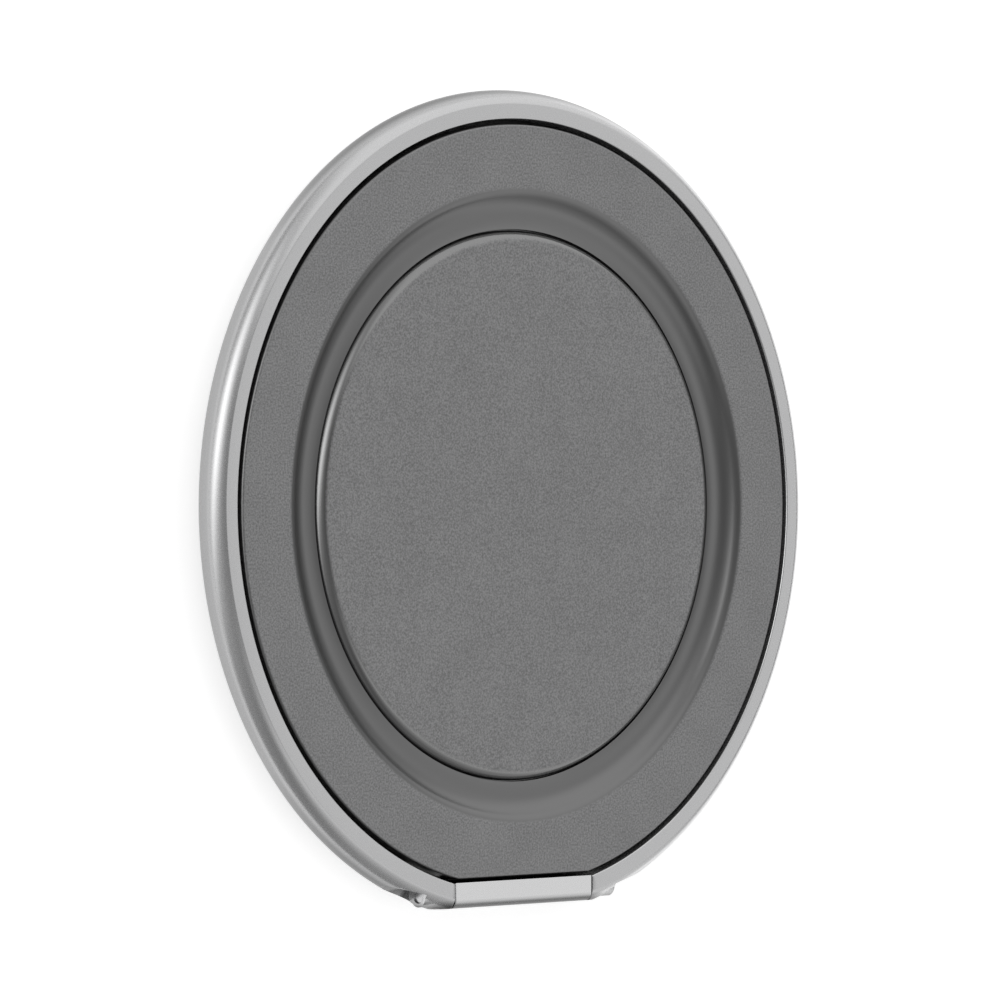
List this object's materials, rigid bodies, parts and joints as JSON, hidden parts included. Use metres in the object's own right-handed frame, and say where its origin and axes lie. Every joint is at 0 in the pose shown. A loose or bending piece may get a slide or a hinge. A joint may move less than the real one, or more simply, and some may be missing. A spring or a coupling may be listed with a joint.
{
  "type": "collapsible phone grip",
  "caption": "Flat round magnetic phone grip with a satin metal ring that swings up on a hinge at its lower edge and folds flat around a dark face with a raised centre disc.",
  "frame": {"origin": "centre of the round face, on the flat back that sits on the phone", "axes": "+Z out of the front face, +X to the right of the face, -Y toward the hinge"},
  "size_m": [0.0612, 0.06, 0.0044],
  "materials": {
    "ring_metal": "bead blasted and anodised, satin",
    "knuckle_metal": "bead blasted and anodised, satin, a little brighter than the ring",
    "pin_steel": "turned steel",
    "sleeve_plastic": "moulded bearing plastic",
    "dark_face": "bead blasted and anodised dark grey, fine grain on the flats, smoother in the groove and on the edges",
    "dark_disc": "bead blasted and anodised dark grey, fine grain on top, polished rim",
    "tape": "double sided foam tape",
    "case_plastic": "black moulded plastic",
    "shield_steel": "thin cold rolled steel",
    "magnet_plating": "nickel plated magnet",
    "soft_pad": "matt silicone",
    "screw_steel": "small steel screws"
  },
  "bodies": {
    "base": {"friction_sleeve_left": "sleeve_plastic", "friction_sleeve_right": "sleeve_plastic", "hinge_bracket": "knuckle_metal", "face_cover": "dark_face", "centre_disc": "dark_disc", "disc_tape": "tape", "base_tray": "case_plastic", "shield_ring": "shield_steel", "back_pad": "soft_pad", "case_screws": "screw_steel", "magnet_01": "magnet_plating", "magnet_02": "magnet_plating", "magnet_03": "magnet_plating", "magnet_04": "magnet_plating", "magnet_05": "magnet_plating", "magnet_06": "magnet_plating", "magnet_07": "magnet_plating", "magnet_08": "magnet_plating", "magnet_09": "magnet_plating", "magnet_10": "magnet_plating", "magnet_11": "magnet_plating", "magnet_12": "magnet_plating", "magnet_13": "magnet_plating", "magnet_14": "magnet_plating", "magnet_15": "magnet_plating", "magnet_16": "magnet_plating"},
    "ring": {"ring_frame": "ring_metal", "hinge_pin": "pin_steel"}
  },
  "joints": [
    {"name": "ring_swing", "type": "hinge", "parent": "base", "child": "ring", "pos_m": [0, -0.02849, 0.0033], "axis": [1, 0, 0], "range_deg": [0, 120]}
  ]
}
